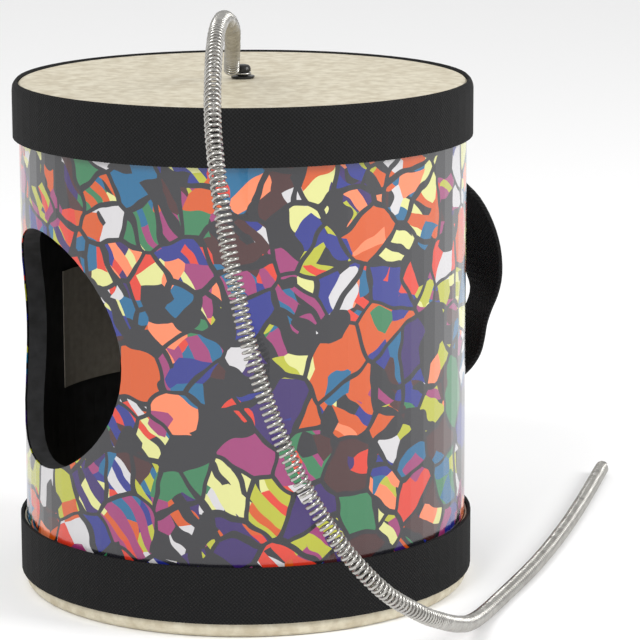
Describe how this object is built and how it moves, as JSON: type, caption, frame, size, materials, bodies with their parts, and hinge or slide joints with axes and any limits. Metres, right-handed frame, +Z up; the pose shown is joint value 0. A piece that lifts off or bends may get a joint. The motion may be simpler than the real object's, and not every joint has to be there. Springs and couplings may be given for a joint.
{
  "type": "spring drum",
  "caption": "Hand-held spring drum: printed tube with film heads, black webbing bands, a side sound hole, a hand strap and a long coil spring screwed to the upper head.",
  "frame": {"origin": "centre of the flat underside of the lower head", "axes": "+Z up along the drum's axis, -Y out through the middle of the sound hole, +Y through the hand strap"},
  "size_m": [0.2445, 0.2644, 0.2064],
  "materials": {
    "tube": "matt black paper",
    "print": "gloss coated print",
    "film": "mottled satin film",
    "webbing": "woven",
    "label": "plain paper",
    "spring_steel": "bright drawn wire",
    "dark_steel": "black oxide",
    "plain_steel": "plated"
  },
  "bodies": {
    "drum": {"shell": "tube", "printed_wrap": "print", "top_head": "film", "bottom_head": "film", "top_band": "webbing", "bottom_band": "webbing", "hand_strap": "webbing", "inner_label": "label", "anchor_screw": "dark_steel", "anchor_outer_washer": "dark_steel", "anchor_inner_washer": "dark_steel", "anchor_nut": "plain_steel", "strap_screw_upper": "dark_steel", "strap_screw_lower": "dark_steel", "strap_washer_upper": "dark_steel", "strap_washer_lower": "dark_steel", "strap_inner_washer_upper": "dark_steel", "strap_inner_washer_lower": "dark_steel", "strap_nut_upper": "plain_steel", "strap_nut_lower": "plain_steel"},
    "spring": {"spring": "spring_steel"}
  },
  "joints": [
    {"name": "spring_swivel", "type": "hinge", "parent": "drum", "child": "spring", "pos_m": [0, 0, 0.1763], "axis": [0, 0, 1], "continuous": true}
  ]
}
